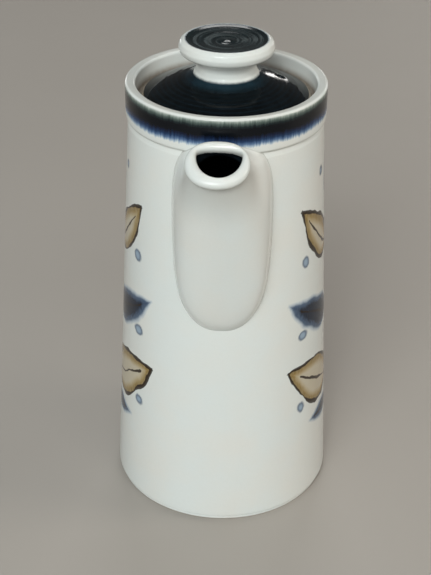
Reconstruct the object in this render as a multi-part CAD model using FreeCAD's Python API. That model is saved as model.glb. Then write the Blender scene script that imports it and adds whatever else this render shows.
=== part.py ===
import FreeCAD, Part
import math
import os

# Tall tapered stoneware coffee pot with a pouch spout, a strap handle and a
# recessed lid that lifts off.  Millimetres, +Z up.  The turning axis of the
# pot is the Z axis, z = 0 is the ground face of the foot ring, the spout
# points along -Y and the handle along +Y.

# ---------------------------------------------------------------- dimensions
# vessel
RIM_Z = 216.0            # top of the rim
BASE_R = 55.0            # widest radius, just above the foot
BASE_Z = 3.0             # height of that widest radius
TAPER = 0.0482           # loss of radius per mm of height
FOOT_R_OUT = 54.2        # foot ring, outer radius
FOOT_R_IN = 46.8         # foot ring, inner radius
FOOT_RECESS = 2.6        # depth of the recess inside the foot ring
FLOOR_Z = 8.2            # inside floor
WALL = 4.5               # wall thickness of the tapered shell
FLOOR_FILLET = 7.0       # inside corner between floor and wall

# collar and gallery at the mouth
COLLAR_R = 46.5          # outer radius of the collar band
COLLAR_Z = 199.0         # lower edge of the collar band
LIP_R = 2.75             # rounding of the rim lip
GALLERY_R = 41.7         # bore above the ledge
LEDGE_Z = 206.2          # ledge that the lid sits on
THROAT_R = 33.9          # bore inside the ledge
THROAT_Z = 203.4         # lower edge of the throat
SHOULDER_Z = 199.6       # where the ledge runs out into the wall

# spout
MOUTH_X = -1.0           # sideways lean of the mouth
MOUTH_HALF_W = 14.0      # half width of the mouth ring
MOUTH_BACK = (-50.4, 208.2)    # back of the mouth ring (y, z)
MOUTH_FRONT = (-72.6, 197.8)   # front of the mouth ring (y, z)
BORE_HALF_W = 9.6        # half width of the opening
BORE_BACK = (-55.4, 209.6)     # back of the opening, carried past the ring
BORE_FRONT = (-69.0, 203.2)    # front of the opening, carried past the ring
ROOT_HALF_W = 23.3       # half width of the root
SPOUT_WALL = 4.2
HOLE_HALF_W = 13.0       # pour hole in the vessel wall behind the spout
HOLE_LOW_Z = 150.0
HOLE_TOP_Z = 198.4

# handle (strap, centre line in the YZ plane)
HANDLE_W = 21.0          # strap width
HANDLE_T = 10.0          # strap thickness
HANDLE_PTS = ((40.0, 178.0), (72.0, 184.0), (99.0, 166.0), (97.0, 112.0), (74.0, 82.0), (44.0, 79.0))
HANDLE_RADII = (26.0, 30.0, 44.0, 26.0)

# lid
LID_R = 39.2             # radius of the lid edge
LID_GAP = 0.05           # seat clearance on the ledge
LID_EDGE_T = 3.4         # thickness of the lid edge
LID_NECK_Z = 219.4       # height of the dome where it meets the knob
LID_NECK_R = 15.0
FLANGE_R = 32.9          # locating flange, outer radius
FLANGE_T = 3.4
FLANGE_LOW = 198.4       # lower edge of the flange
VENT_R = 2.0             # steam vent
VENT_POS_R = 24.7
VENT_AZ = 15.8           # degrees from +X towards +Y

# knob
KNOB_TOP_Z = 235.4
KNOB_R = 22.0
KNOB_WAIST_R = 13.4
KNOB_WAIST_Z = 223.6

V = FreeCAD.Vector


def body_r(z):
    return BASE_R - TAPER * (z - BASE_Z)


def line(a, b):
    return Part.LineSegment(V(a[0], 0, a[1]), V(b[0], 0, b[1])).toShape()


def arc(a, m, b):
    return Part.Arc(V(a[0], 0, a[1]), V(m[0], 0, m[1]), V(b[0], 0, b[1])).toShape()


def spline(pts):
    c = Part.BSplineCurve()
    c.interpolate([V(p[0], 0, p[1]) for p in pts])
    return c.toShape()


def revolve(edges):
    w = Part.Wire(Part.__sortEdges__(edges))
    return Part.Face(w).revolve(V(0, 0, 0), V(0, 0, 1), 360)


def solid_of(shape):
    s = shape.removeSplitter() if hasattr(shape, "removeSplitter") else shape
    if s.Solids and len(s.Solids) == 1:
        return s.Solids[0]
    return s


# ------------------------------------------------------------ vessel profile
def outer_edges():
    # from the foot up to the top of the lip
    top_r = COLLAR_R - LIP_R
    k = LIP_R * (1 - math.sqrt(0.5))
    cz = COLLAR_Z
    return [
        line((FOOT_R_OUT - 0.8, 0), (FOOT_R_OUT, 0.8)),
        line((FOOT_R_OUT, 0.8), (FOOT_R_OUT - 0.6, 1.6)),
        arc((FOOT_R_OUT - 0.6, 1.6), (BASE_R - 0.55, 1.95), (BASE_R, BASE_Z)),
        line((BASE_R, BASE_Z), (body_r(cz - 0.8), cz - 0.8)),
        arc((body_r(cz - 0.8), cz - 0.8), (COLLAR_R - 0.35, cz + 0.35), (COLLAR_R, cz + 1.8)),
        line((COLLAR_R, cz + 1.8), (COLLAR_R, RIM_Z - LIP_R)),
        arc((COLLAR_R, RIM_Z - LIP_R), (COLLAR_R - k, RIM_Z - k), (top_r, RIM_Z)),
    ]


edges = outer_edges()
inner_drop = COLLAR_R - LIP_R - GALLERY_R
k2 = inner_drop * (1 - math.sqrt(0.5))
wall_in = lambda z: body_r(z) - WALL
fz = FLOOR_Z + FLOOR_FILLET
edges += [
    arc((COLLAR_R - LIP_R, RIM_Z), (GALLERY_R + k2, RIM_Z - k2), (GALLERY_R, RIM_Z - inner_drop)),
    line((GALLERY_R, RIM_Z - inner_drop), (GALLERY_R - 0.5, LEDGE_Z + 1.2)),
    arc((GALLERY_R - 0.5, LEDGE_Z + 1.2), (GALLERY_R - 0.87, LEDGE_Z + 0.36), (GALLERY_R - 1.7, LEDGE_Z)),
    line((GALLERY_R - 1.7, LEDGE_Z), (THROAT_R + 0.6, LEDGE_Z)),
    line((THROAT_R + 0.6, LEDGE_Z), (THROAT_R, LEDGE_Z - 0.6)),
    line((THROAT_R, LEDGE_Z - 0.6), (THROAT_R, THROAT_Z)),
    line((THROAT_R, THROAT_Z), (wall_in(SHOULDER_Z), SHOULDER_Z)),
    line((wall_in(SHOULDER_Z), SHOULDER_Z), (wall_in(fz), fz)),
    arc((wall_in(fz), fz), (wall_in(fz) - FLOOR_FILLET * 0.29, FLOOR_Z + FLOOR_FILLET * 0.29),
        (wall_in(fz) - FLOOR_FILLET, FLOOR_Z)),
    line((wall_in(fz) - FLOOR_FILLET, FLOOR_Z), (0, FLOOR_Z)),
    line((0, FLOOR_Z), (0, FOOT_RECESS)),
    line((0, FOOT_RECESS), (FOOT_R_IN - 1.2, FOOT_RECESS)),
    line((FOOT_R_IN - 1.2, FOOT_RECESS), (FOOT_R_IN, 0)),
    line((FOOT_R_IN, 0), (FOOT_R_OUT - 0.8, 0)),
]
pot_body = revolve(edges)

# the same outside with nothing hollow, used to trim what is luted on
fill = outer_edges() + [
    line((COLLAR_R - LIP_R, RIM_Z), (0, RIM_Z)),
    line((0, RIM_Z), (0, 0)),
    line((0, 0), (FOOT_R_OUT - 0.8, 0)),
]
pot_filled = revolve(fill)


# --------------------------------------------------------------------- spout
def oval(top, low, half_w, cx, n, lift, count=24):
    """Points round a closed curve in the plane that holds the X direction and
    the line top-low (both y, z): half width half_w, superellipse power n,
    widest point moved towards the top by lift."""
    pts = []
    cy, cz = (top[0] + low[0]) / 2.0, (top[1] + low[1]) / 2.0
    swell = 3.0 / (2.0 + math.cos(2 * math.pi / count))
    hy, hz = swell * (top[0] - low[0]) / 2.0, swell * (top[1] - low[1]) / 2.0
    for i in range(count):
        t = 2 * math.pi * i / count
        c, s = math.cos(t), math.sin(t)
        x = math.copysign(abs(c) ** (2.0 / n), c)
        v = math.copysign(abs(s) ** (2.0 / n), s)
        v = v + lift * (1 - v * v)
        pts.append(V(cx + swell * half_w * x, cy + hy * v, cz + hz * v))
    return pts


def skin(rows):
    """Solid with one smooth side face over closed rows of poles, and flat ends."""
    nu, nv = len(rows[0]), len(rows)
    poles = [[rows[j][i] for j in range(nv)] for i in range(nu)]
    uk = [float(i) for i in range(nu + 1)]
    vk = [float(j) for j in range(nv - 2)]
    surf = Part.BSplineSurface()
    surf.buildFromPolesMultsKnots(poles, [1] * (nu + 1), [4] + [1] * (nv - 4) + [4], uk, vk, True, False, 3, 3)
    side = surf.toShape()
    ends = []
    for v in (vk[0], vk[-1]):
        ends.append(Part.Face(Part.Wire(surf.vIso(v).toShape())))
    shell = Part.makeShell([side] + ends)
    shell.sewShape()
    body = Part.makeSolid(shell)
    if body.Volume < 0:
        body.reverse()
    return body


def monotone(ts, vs, t):
    """Monotone cubic through (ts, vs): never swings past its knots."""
    n = len(ts)
    h = [ts[i + 1] - ts[i] for i in range(n - 1)]
    d = [(vs[i + 1] - vs[i]) / h[i] for i in range(n - 1)]
    m = [d[0]] + [0.0 if d[i - 1] * d[i] <= 0 else 2 * d[i - 1] * d[i] / (d[i - 1] + d[i]) for i in range(1, n - 1)] + [d[-1]]
    i = 0
    while i < n - 2 and t > ts[i + 1]:
        i += 1
    u = (t - ts[i]) / h[i]
    return ((1 + 2 * u) * (1 - u) ** 2 * vs[i] + u * (1 - u) ** 2 * h[i] * m[i]
            + u * u * (3 - 2 * u) * vs[i + 1] + u * u * (u - 1) * h[i] * m[i])


def pouch(knots, steps):
    """Solid through ovals that run from the root out to the mouth."""
    ts = [q[0] for q in knots]
    rows = []
    for k in range(steps + 1):
        t = k / float(steps)
        g = [monotone(ts, [q[j] for q in knots], t) for j in range(1, 9)]
        rows.append(oval((g[0], g[1]), (g[2], g[3]), g[4], g[5], g[6], g[7]))
    return skin(rows)


# each row: t, back point y z, front point y z, half width, sideways shift,
# superellipse power, lift of the widest point
SPOUT_OUT = (
    (0.00, -36.0, 204.0, -44.0, 100.0, ROOT_HALF_W + 0.9, 0.6, 2.45, 0.30),
    (0.16, -42.0, 203.6, -53.0, 115.5, ROOT_HALF_W - 0.2, 0.5, 2.40, 0.30),
    (0.48, -46.4, 203.6, -59.3, 146.5, ROOT_HALF_W - 3.0, 0.0, 2.20, 0.22),
    (0.84, -48.4, 204.8, -66.6, 180.5, ROOT_HALF_W - 7.4, -0.6, 2.08, 0.08),
    (1.00, MOUTH_BACK[0], MOUTH_BACK[1], MOUTH_FRONT[0], MOUTH_FRONT[1], MOUTH_HALF_W, MOUTH_X, 2.05, 0.0),
)
w = SPOUT_WALL
SPOUT_IN = (
    (0.00, -34.0, HOLE_TOP_Z - 0.5, -38.0, 112.0, ROOT_HALF_W - w, 0.6, 2.40, 0.30),
    (0.16, -42.5, HOLE_TOP_Z + 0.8, -49.0, 126.0, ROOT_HALF_W - w - 1.2, 0.5, 2.35, 0.28),
    (0.48, -49.0, HOLE_TOP_Z + 2.2, -56.2, 155.0, ROOT_HALF_W - w - 4.2, 0.2, 2.25, 0.20),
    (0.84, -53.2, HOLE_TOP_Z + 4.4, -64.0, 186.0, ROOT_HALF_W - w - 8.2, -0.2, 2.20, 0.08),
    (1.00, BORE_BACK[0], BORE_BACK[1], BORE_FRONT[0], BORE_FRONT[1], BORE_HALF_W, -0.4, 2.20, 0.0),
)
spout_outer = pouch(SPOUT_OUT, 10)
spout_bore = pouch(SPOUT_IN, 10)
spout = spout_outer.cut(spout_bore)
spout = solid_of(spout.cut(pot_filled))

# pour hole: flat top, rounded foot, straight through the vessel wall
hr = HOLE_HALF_W
hole_pts = Part.Wire(Part.__sortEdges__([
    Part.LineSegment(V(-hr + 4, -30, HOLE_TOP_Z), V(hr - 4, -30, HOLE_TOP_Z)).toShape(),
    Part.Arc(V(hr - 4, -30, HOLE_TOP_Z), V(hr - 1.17, -30, HOLE_TOP_Z - 1.17), V(hr, -30, HOLE_TOP_Z - 4)).toShape(),
    Part.LineSegment(V(hr, -30, HOLE_TOP_Z - 4), V(hr, -30, HOLE_LOW_Z + hr)).toShape(),
    Part.Arc(V(hr, -30, HOLE_LOW_Z + hr), V(0, -30, HOLE_LOW_Z), V(-hr, -30, HOLE_LOW_Z + hr)).toShape(),
    Part.LineSegment(V(-hr, -30, HOLE_LOW_Z + hr), V(-hr, -30, HOLE_TOP_Z - 4)).toShape(),
    Part.Arc(V(-hr, -30, HOLE_TOP_Z - 4), V(-hr + 1.17, -30, HOLE_TOP_Z - 1.17), V(-hr + 4, -30, HOLE_TOP_Z)).toShape(),
]))
hole = Part.Face(hole_pts).extrude(V(0, -30, 0))
pot_body = solid_of(pot_body.cut(hole))


# -------------------------------------------------------------------- handle
def rounded_path(pts, radii):
    """Straight runs joined by tangent arcs, in the YZ plane."""
    P = [V(0, p[0], p[1]) for p in pts]
    edges, start = [], P[0]
    for i in range(1, len(P) - 1):
        a, b, c = P[i - 1], P[i], P[i + 1]
        u = (a - b).normalize()
        v = (c - b).normalize()
        half = math.acos(max(-1, min(1, u.dot(v)))) / 2.0
        t = radii[i - 1] / math.tan(half)
        t = min(t, 0.49 * min((a - b).Length, (c - b).Length) if 1 < i < len(P) - 2 else t)
        r = t * math.tan(half)
        p1, p2 = b + u * t, b + v * t
        bis = (u + v).normalize()
        centre = b + bis * (r / math.sin(half))
        mid = centre - bis * r
        if (p1 - start).Length > 1e-6:
            edges.append(Part.LineSegment(start, p1).toShape())
        edges.append(Part.Arc(p1, mid, p2).toShape())
        start = p2
    edges.append(Part.LineSegment(start, P[-1]).toShape())
    return Part.Wire(edges)


path = rounded_path(HANDLE_PTS, HANDLE_RADII)
p0, p1 = V(0, *HANDLE_PTS[0]), V(0, *HANDLE_PTS[1])
tan = (p1 - p0).normalize()
nrm = V(0, -tan.z, tan.y)
sec = []
for i in range(20):
    t = 2 * math.pi * i / 20
    c, s = math.cos(t), math.sin(t)
    x = math.copysign(abs(c) ** (2 / 2.5), c) * HANDLE_W / 2
    y = math.copysign(abs(s) ** (2 / 2.5), s) * HANDLE_T / 2
    sec.append(p0 + V(x, 0, 0) + nrm * y)
sb = Part.BSplineCurve()
sb.interpolate(Points=sec, PeriodicFlag=True)
handle = path.makePipeShell([Part.Wire(sb.toShape())], True, True)
handle = handle.cut(pot_filled)
handle = max(handle.Solids, key=lambda q: q.Volume)

# ----------------------------------------------------------------------- lid
ez = LEDGE_Z + LID_GAP
te = ez + LID_EDGE_T
lid = revolve([
    line((0, LID_NECK_Z - 6.0), (0, LID_NECK_Z)),
    line((0, LID_NECK_Z), (LID_NECK_R, LID_NECK_Z)),
    spline(((LID_NECK_R, LID_NECK_Z), (18.0, 217.6), (23.0, 215.5), (29.0, 213.2), (34.0, 211.3), (LID_R - 1.3, te))),
    arc((LID_R - 1.3, te), (LID_R, ez + LID_EDGE_T / 2.0), (LID_R - 1.3, ez)),
    line((LID_R - 1.3, ez), (FLANGE_R + 0.5, ez)),
    line((FLANGE_R + 0.5, ez), (FLANGE_R, ez - 0.5)),
    line((FLANGE_R, ez - 0.5), (FLANGE_R - 0.6, FLANGE_LOW + 0.6)),
    line((FLANGE_R - 0.6, FLANGE_LOW + 0.6), (FLANGE_R - 1.2, FLANGE_LOW)),
    line((FLANGE_R - 1.2, FLANGE_LOW), (FLANGE_R - FLANGE_T, FLANGE_LOW)),
    line((FLANGE_R - FLANGE_T, FLANGE_LOW), (FLANGE_R - FLANGE_T - 0.6, 206.6)),
    spline(((FLANGE_R - FLANGE_T - 0.6, 206.6), (24.0, 210.2), (16.0, 212.6), (8.0, LID_NECK_Z - 6.0 + 0.0), (0.0, LID_NECK_Z - 6.0))),
])
va = math.radians(VENT_AZ)
vent = Part.makeCylinder(VENT_R, 30, V(VENT_POS_R * math.cos(va), VENT_POS_R * math.sin(va), 195), V(0, 0, 1))
lid = solid_of(lid.cut(vent))

# ---------------------------------------------------------------------- knob
lid_knob = revolve([
    line((0, LID_NECK_Z), (LID_NECK_R, LID_NECK_Z)),
    spline(((LID_NECK_R, LID_NECK_Z), (14.2, 220.8), (KNOB_WAIST_R, KNOB_WAIST_Z), (13.9, 225.5), (16.3, 227.5), (19.2, 228.4))),
    arc((19.2, 228.4), (KNOB_R, 231.8), (19.6, KNOB_TOP_Z)),
    spline(((19.6, KNOB_TOP_Z), (18.2, KNOB_TOP_Z), (14.0, 234.6), (7.0, 234.2), (3.2, 234.9), (0, KNOB_TOP_Z))),
    line((0, KNOB_TOP_Z), (0, LID_NECK_Z)),
])
lid_knob = solid_of(lid_knob)

# --------------------------------------------------------------------- write
os.makedirs("parts", exist_ok=True)
nodes = {
    "pot_body": pot_body,
    "spout": spout,
    "handle": handle,
    "lid": lid,
    "lid_knob": lid_knob,
}
for name in nodes:
    s = nodes[name]
    bb = s.BoundBox
    print(name, s.ShapeType, "solids", len(s.Solids), "valid", s.isValid(), "vol cm3 %.2f" % (s.Volume / 1000.0),
          "x %.1f %.1f y %.1f %.1f z %.1f %.1f" % (bb.XMin, bb.XMax, bb.YMin, bb.YMax, bb.ZMin, bb.ZMax))
    s.exportStep("parts/%s.step" % name)
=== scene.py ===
import math

import bpy
import bmesh
import numpy as np
from mathutils import Matrix, Vector


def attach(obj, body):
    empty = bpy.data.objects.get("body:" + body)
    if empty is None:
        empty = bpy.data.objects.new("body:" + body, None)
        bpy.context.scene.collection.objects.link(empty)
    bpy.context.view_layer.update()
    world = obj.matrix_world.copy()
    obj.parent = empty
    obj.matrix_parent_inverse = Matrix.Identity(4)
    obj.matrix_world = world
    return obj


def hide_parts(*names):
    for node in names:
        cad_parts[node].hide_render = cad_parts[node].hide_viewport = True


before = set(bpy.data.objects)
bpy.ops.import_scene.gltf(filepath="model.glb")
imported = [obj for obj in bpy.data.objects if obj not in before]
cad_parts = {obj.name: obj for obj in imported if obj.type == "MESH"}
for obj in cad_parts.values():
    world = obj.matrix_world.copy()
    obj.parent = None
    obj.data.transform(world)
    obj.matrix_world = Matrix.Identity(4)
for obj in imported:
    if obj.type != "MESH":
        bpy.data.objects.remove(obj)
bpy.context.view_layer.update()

MM = 0.001
scene = bpy.context.scene

# =========================================================== shared dimensions
# millimetres, the same frame as the construction: axis on Z, foot on z = 0,
# spout towards -Y, handle towards +Y
RIM_Z = 216.0
BASE_R, BASE_Z, TAPER = 55.0, 3.0, 0.0482
COLLAR_R, COLLAR_Z = 46.5, 199.0
GALLERY_R, LEDGE_Z = 41.7, 206.2
THROAT_R, THROAT_Z, SHOULDER_Z = 33.9, 203.4, 199.6
WALL, FLOOR_Z = 4.5, 8.2
FOOT_R_OUT, FOOT_R_IN, FOOT_RECESS = 54.2, 46.8, 2.6


def body_r(z):
    return BASE_R - TAPER * (np.asarray(z, float) - BASE_Z)


# ============================================================== mesh utilities
def smooth_noise(x, seed, octaves=3):
    """Deterministic smooth 1-D noise in about -1..1 from summed sines."""
    rng = np.random.RandomState(seed)
    out = np.zeros_like(np.asarray(x, float))
    amp, tot = 1.0, 0.0
    for k in range(octaves):
        for _ in range(3):
            f = (1.6 ** k) * rng.uniform(0.6, 1.4)
            out += amp * np.sin(f * np.asarray(x, float) + rng.uniform(0, 6.28)) / 1.7
        tot += amp
        amp *= 0.55
    return out / tot


def ring_noise(theta, z, seed, kmax=5, zscale=60.0):
    """Smooth noise that closes round the turning axis."""
    rng = np.random.RandomState(seed)
    out = 0.0
    tot = 0.0
    for k in range(1, kmax + 1):
        a = 1.0 / k
        out = out + a * np.sin(k * theta + rng.uniform(0, 6.28) + 1.2 * np.sin(z / zscale * rng.uniform(0.7, 1.5) + rng.uniform(0, 6.28)))
        tot += a
    return out / tot


def fillet_profile(points, arc_step=0.28):
    """Polyline with rounded corners: points are (r, z, radius)."""
    out = []
    n = len(points)
    for i, (x, y, rho) in enumerate(points):
        if i in (0, n - 1) or rho <= 0:
            out.append((x, y))
            continue
        p = np.array([x, y], float)
        a = np.array(points[i - 1][:2], float)
        b = np.array(points[i + 1][:2], float)
        u, v = a - p, b - p
        lu, lv = np.linalg.norm(u), np.linalg.norm(v)
        u, v = u / lu, v / lv
        half = 0.5 * math.acos(float(np.clip(u @ v, -1, 1)))
        t = min(rho / math.tan(half), 0.495 * lu, 0.495 * lv)
        rr = t * math.tan(half)
        bis = (u + v) / np.linalg.norm(u + v)
        c = p + bis * (rr / math.sin(half))
        p1, p2 = p + u * t, p + v * t
        a1 = math.atan2(*(p1 - c)[::-1])
        a2 = math.atan2(*(p2 - c)[::-1])
        d = (a2 - a1 + math.pi) % (2 * math.pi) - math.pi
        k = max(5, int(abs(d) * rr / arc_step))
        for j in range(k + 1):
            g = a1 + d * j / k
            out.append((c[0] + rr * math.cos(g), c[1] + rr * math.sin(g)))
    return np.array(out)


def densify(poly, step):
    out = [poly[0]]
    for a, b in zip(poly[:-1], poly[1:]):
        d = float(np.linalg.norm(b - a))
        if d < 1e-9:
            continue
        k = max(1, int(math.ceil(d / step)))
        for j in range(1, k + 1):
            out.append(a + (b - a) * j / k)
    return np.array(out)


def arclen(poly):
    return np.r_[0.0, np.cumsum(np.linalg.norm(np.diff(poly, axis=0), axis=1))]


def gauss_smooth_poly(poly, sigma, keep_ends=True, step=0.18):
    """Softens a polyline (n, d) along its length with a Gaussian of sigma mm."""
    s = arclen(poly)
    m = max(8, int(s[-1] / step))
    t = np.linspace(0, s[-1], m)
    q = np.stack([np.interp(t, s, poly[:, k]) for k in range(poly.shape[1])], 1)
    h = t[1] - t[0]
    w = max(1, int(3 * sigma / h))
    ker = np.exp(-0.5 * (np.arange(-w, w + 1) * h / sigma) ** 2)
    ker /= ker.sum()
    pad = np.concatenate([2 * q[0] - q[1:w + 1][::-1], q, 2 * q[-1] - q[-w - 1:-1][::-1]])
    r = np.stack([np.convolve(pad[:, k], ker, "valid") for k in range(q.shape[1])], 1)
    if keep_ends:
        r[0], r[-1] = poly[0], poly[-1]
    return r


def new_object(name, verts_mm, faces, uvs=None, attrs=None):
    me = bpy.data.meshes.new(name)
    me.from_pydata((np.asarray(verts_mm) * MM).tolist(), [], faces)
    me.update()
    if uvs is not None:
        layer = me.uv_layers.new(name="OFBake")
        flat = np.array([c for f in uvs for c in f], np.float32)
        layer.data.foreach_set("uv", flat.ravel())
    for key, val in (attrs or {}).items():
        a = me.attributes.new(key, "FLOAT", "POINT")
        a.data.foreach_set("value", np.asarray(val, np.float32))
    me.polygons.foreach_set("use_smooth", np.ones(len(me.polygons), bool))
    ob = bpy.data.objects.new(name, me)
    scene.collection.objects.link(ob)
    return ob


def revolve(name, prof, n, move=None, vspan=None, vmax=1.0):
    """Surface of revolution from a profile (r, z).  Ends on the axis become
    poles.  move(theta, r, z, s) returns (dr, dz).  vspan gives the share of
    the texture height that each point of the profile gets."""
    prof = np.asarray(prof, float)
    s = arclen(prof)
    th = 2 * np.pi * np.arange(n) / n
    vv = (s / s[-1] if vspan is None else vspan) * vmax
    verts, index = [], []
    for i, (r, z) in enumerate(prof):
        if r < 1e-6:
            index.append([len(verts)] * n)
            dz = 0.0
            if move is not None:
                dz = float(np.mean(move(th, np.zeros(n), np.full(n, z), np.full(n, s[i]))[1]))
            verts.append((0.0, 0.0, z + dz))
            continue
        rr, zz = np.full(n, r), np.full(n, z)
        if move is not None:
            dr, dz = move(th, rr, zz, np.full(n, s[i]))
            rr, zz = rr + dr, zz + dz
        start = len(verts)
        # angle 0 is the seam, at the back (+Y)
        verts.extend(np.c_[-rr * np.sin(th), rr * np.cos(th), zz].tolist())
        index.append(list(range(start, start + n)))
    faces, uvs = [], []
    for i in range(len(prof) - 1):
        a, b = index[i], index[i + 1]
        pole_a, pole_b = prof[i][0] < 1e-6, prof[i + 1][0] < 1e-6
        if pole_a and pole_b:
            continue
        for j in range(n):
            k = (j + 1) % n
            u0, u1 = j / n, (j + 1) / n
            if pole_a:
                faces.append((a[0], b[k], b[j]))
                uvs.append(((u0, vv[i]), (u1, vv[i + 1]), (u0, vv[i + 1])))
            elif pole_b:
                faces.append((a[j], a[k], b[0]))
                uvs.append(((u0, vv[i]), (u1, vv[i]), (u0, vv[i + 1])))
            else:
                faces.append((a[j], a[k], b[k], b[j]))
                uvs.append(((u0, vv[i]), (u1, vv[i]), (u1, vv[i + 1]), (u0, vv[i + 1])))
    ob = new_object(name, verts, faces, uvs)
    fix_normals(ob)
    return ob


def fix_normals(ob):
    bm = bmesh.new()
    bm.from_mesh(ob.data)
    bmesh.ops.recalc_face_normals(bm, faces=bm.faces)
    bm.to_mesh(ob.data)
    bm.free()


def loft(name, grid, closed_rows=True, attrs=None, umax=1.0, vmax=1.0):
    """Closed tube of quads over grid (rows, columns, 3): columns close round,
    rows close when closed_rows."""
    nr, nc = grid.shape[:2]
    verts = grid.reshape(-1, 3)
    seg = np.linalg.norm(np.diff(grid, axis=0), axis=2).mean(1)
    v = np.r_[0, np.cumsum(seg)]
    if closed_rows:
        v = np.r_[v, v[-1] + np.linalg.norm(grid[0] - grid[-1], axis=1).mean()]
    v = v / v[-1] * vmax
    faces, uvs = [], []
    for i in range(nr if closed_rows else nr - 1):
        k = (i + 1) % nr
        for j in range(nc):
            m = (j + 1) % nc
            faces.append((i * nc + j, i * nc + m, k * nc + m, k * nc + j))
            u0, u1 = umax * j / nc, umax * (j + 1) / nc
            uvs.append(((u0, v[i]), (u1, v[i]), (u1, v[i + 1]), (u0, v[i + 1])))
    ob = new_object(name, verts, faces, uvs, attrs)
    fix_normals(ob)
    return ob


def carve(ob, cutter):
    """Takes the cutter out of ob and throws the cutter away."""
    m = ob.modifiers.new("carve", "BOOLEAN")
    m.operation = "DIFFERENCE"
    m.solver = "EXACT"
    m.object = cutter
    bpy.context.view_layer.update()
    dg = bpy.context.evaluated_depsgraph_get()
    me = bpy.data.meshes.new_from_object(ob.evaluated_get(dg), preserve_all_data_layers=True, depsgraph=dg)
    ob.modifiers.remove(m)
    old = ob.data
    ob.data = me
    me.name = old.name
    bpy.data.meshes.remove(old)
    bpy.data.objects.remove(cutter)
    ob.data.polygons.foreach_set("use_smooth", np.ones(len(ob.data.polygons), bool))


# =================================================================== pot body
def wall_in(z):
    return body_r(z) - WALL


body_pts = [
    (0.0, FOOT_RECESS, 0),
    (FOOT_R_IN - 1.4, FOOT_RECESS, 1.3),
    (FOOT_R_IN + 0.2, 0.0, 0.5),
    (FOOT_R_OUT - 0.15, 0.0, 0.65),
    (FOOT_R_OUT - 0.1, 1.35, 0.35),
    (FOOT_R_OUT - 0.75, 1.85, 0.25),
    (BASE_R + 0.02, 2.45, 0.8),
    (float(body_r(COLLAR_Z - 3.0)), COLLAR_Z - 3.0, 4.0),
    (float(body_r(COLLAR_Z)) - 0.55, COLLAR_Z - 0.5, 0.9),
    (COLLAR_R, COLLAR_Z + 0.5, 2.6),
    (COLLAR_R, RIM_Z + 0.10, 1.45),
    (GALLERY_R + 0.05, RIM_Z - 0.40, 1.3),
    (GALLERY_R - 0.5, LEDGE_Z, 1.5),
    (THROAT_R, LEDGE_Z, 0.8),
    (THROAT_R, THROAT_Z, 0.9),
    (float(wall_in(SHOULDER_Z)), SHOULDER_Z, 3.0),
    (float(wall_in(FLOOR_Z)), FLOOR_Z, 7.5),
    (0.0, FLOOR_Z, 0),
]
body_prof = densify(fillet_profile(body_pts), 1.6)


def body_move(th, r, z, s):
    """Hand-thrown unevenness: slow waves round the wall, faint turning rings."""
    inside = s > 285.0
    on_wall = np.clip((z - 4.0) / 12.0, 0, 1) * np.clip((213.0 - z) / 12.0, 0, 1)
    wob = 0.06 * ring_noise(th, z, 3, 4, 45.0)
    rings = 0.010 * np.sin(2 * np.pi * z / 7.3 + th + 0.8 * np.sin(z / 31.0)) + 0.006 * np.sin(2 * np.pi * z / 2.9 - th)
    inner = 0.22 * np.sin(2 * np.pi * z / 6.1 + th)
    dr = np.where(inside, inner * np.clip((190.0 - z) / 10.0, 0, 1) * np.clip((z - 14.0) / 10.0, 0, 1), (wob + rings) * on_wall)
    lip = np.clip((z - 211.0) / 5.0, 0, 1)
    dz = 0.16 * lip * ring_noise(th, z * 0, 11, 3, 50.0)
    return dr, dz


_s = arclen(body_prof)
_out0 = _s[np.argmin(np.abs(body_prof[:, 1] - 0.0) + np.abs(body_prof[:, 0] - FOOT_R_OUT + 0.5))]
_out1 = _s[np.argmin(np.abs(body_prof[:, 1] - RIM_Z) + np.abs(body_prof[:, 0] - 43.0))]
body_v = np.interp(_s, [0, _out0, _out1, _s[-1]], [0.0, 0.06, 0.74, 0.96])
pot_body = revolve("pot_body_shell", body_prof, 320, body_move, vspan=body_v)

HOLE_HALF_W, HOLE_LOW_Z, HOLE_TOP_Z = 13.0, 150.0, 198.4


def hole_outline(n_arc=14):
    w, lo, hi = HOLE_HALF_W, HOLE_LOW_Z, HOLE_TOP_Z
    pts = []
    for k in range(n_arc * 2 + 1):
        g = math.pi + math.pi * k / (n_arc * 2)
        pts.append((w * math.cos(g), lo + w + w * math.sin(g)))
    for cx, g0 in ((w - 4, 0.0), (-w + 4, math.pi / 2)):
        for k in range(n_arc // 2 + 1):
            g = g0 + (math.pi / 2) * k / (n_arc // 2)
            pts.append((cx + 4 * math.cos(g), hi - 4 + 4 * math.sin(g)))
    return pts


def prism_y(name, outline, y0, y1):
    n = len(outline)
    verts = [(x, y0, z) for x, z in outline] + [(x, y1, z) for x, z in outline]
    faces = [tuple(range(n))[::-1], tuple(range(n, 2 * n))]
    uvs = [[(0.01 + 0.001 * k, 0.985) for k in range(n)] for _ in range(2)]
    for k in range(n):
        m = (k + 1) % n
        faces.append((k, m, n + m, n + k))
        u0, u1 = 0.1 + 0.5 * k / n, 0.1 + 0.5 * (k + 1) / n
        uvs.append([(u0, 0.97), (u1, 0.97), (u1, 0.995), (u0, 0.995)])
    ob = new_object(name, verts, faces, uvs)
    fix_normals(ob)
    return ob


carve(pot_body, prism_y("pour_cutter", hole_outline(), -60.0, -30.0))


# ====================================================================== spout
def along(knots, column, t):
    """One smooth cubic led by the knots of a column, closest at the mouth."""
    fit = np.polyfit(knots[:, 0], knots[:, column], 3, w=np.array([1.0, 1.2, 1.2, 1.5, 8.0]))
    return np.polyval(fit, np.asarray(t, float))


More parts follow.
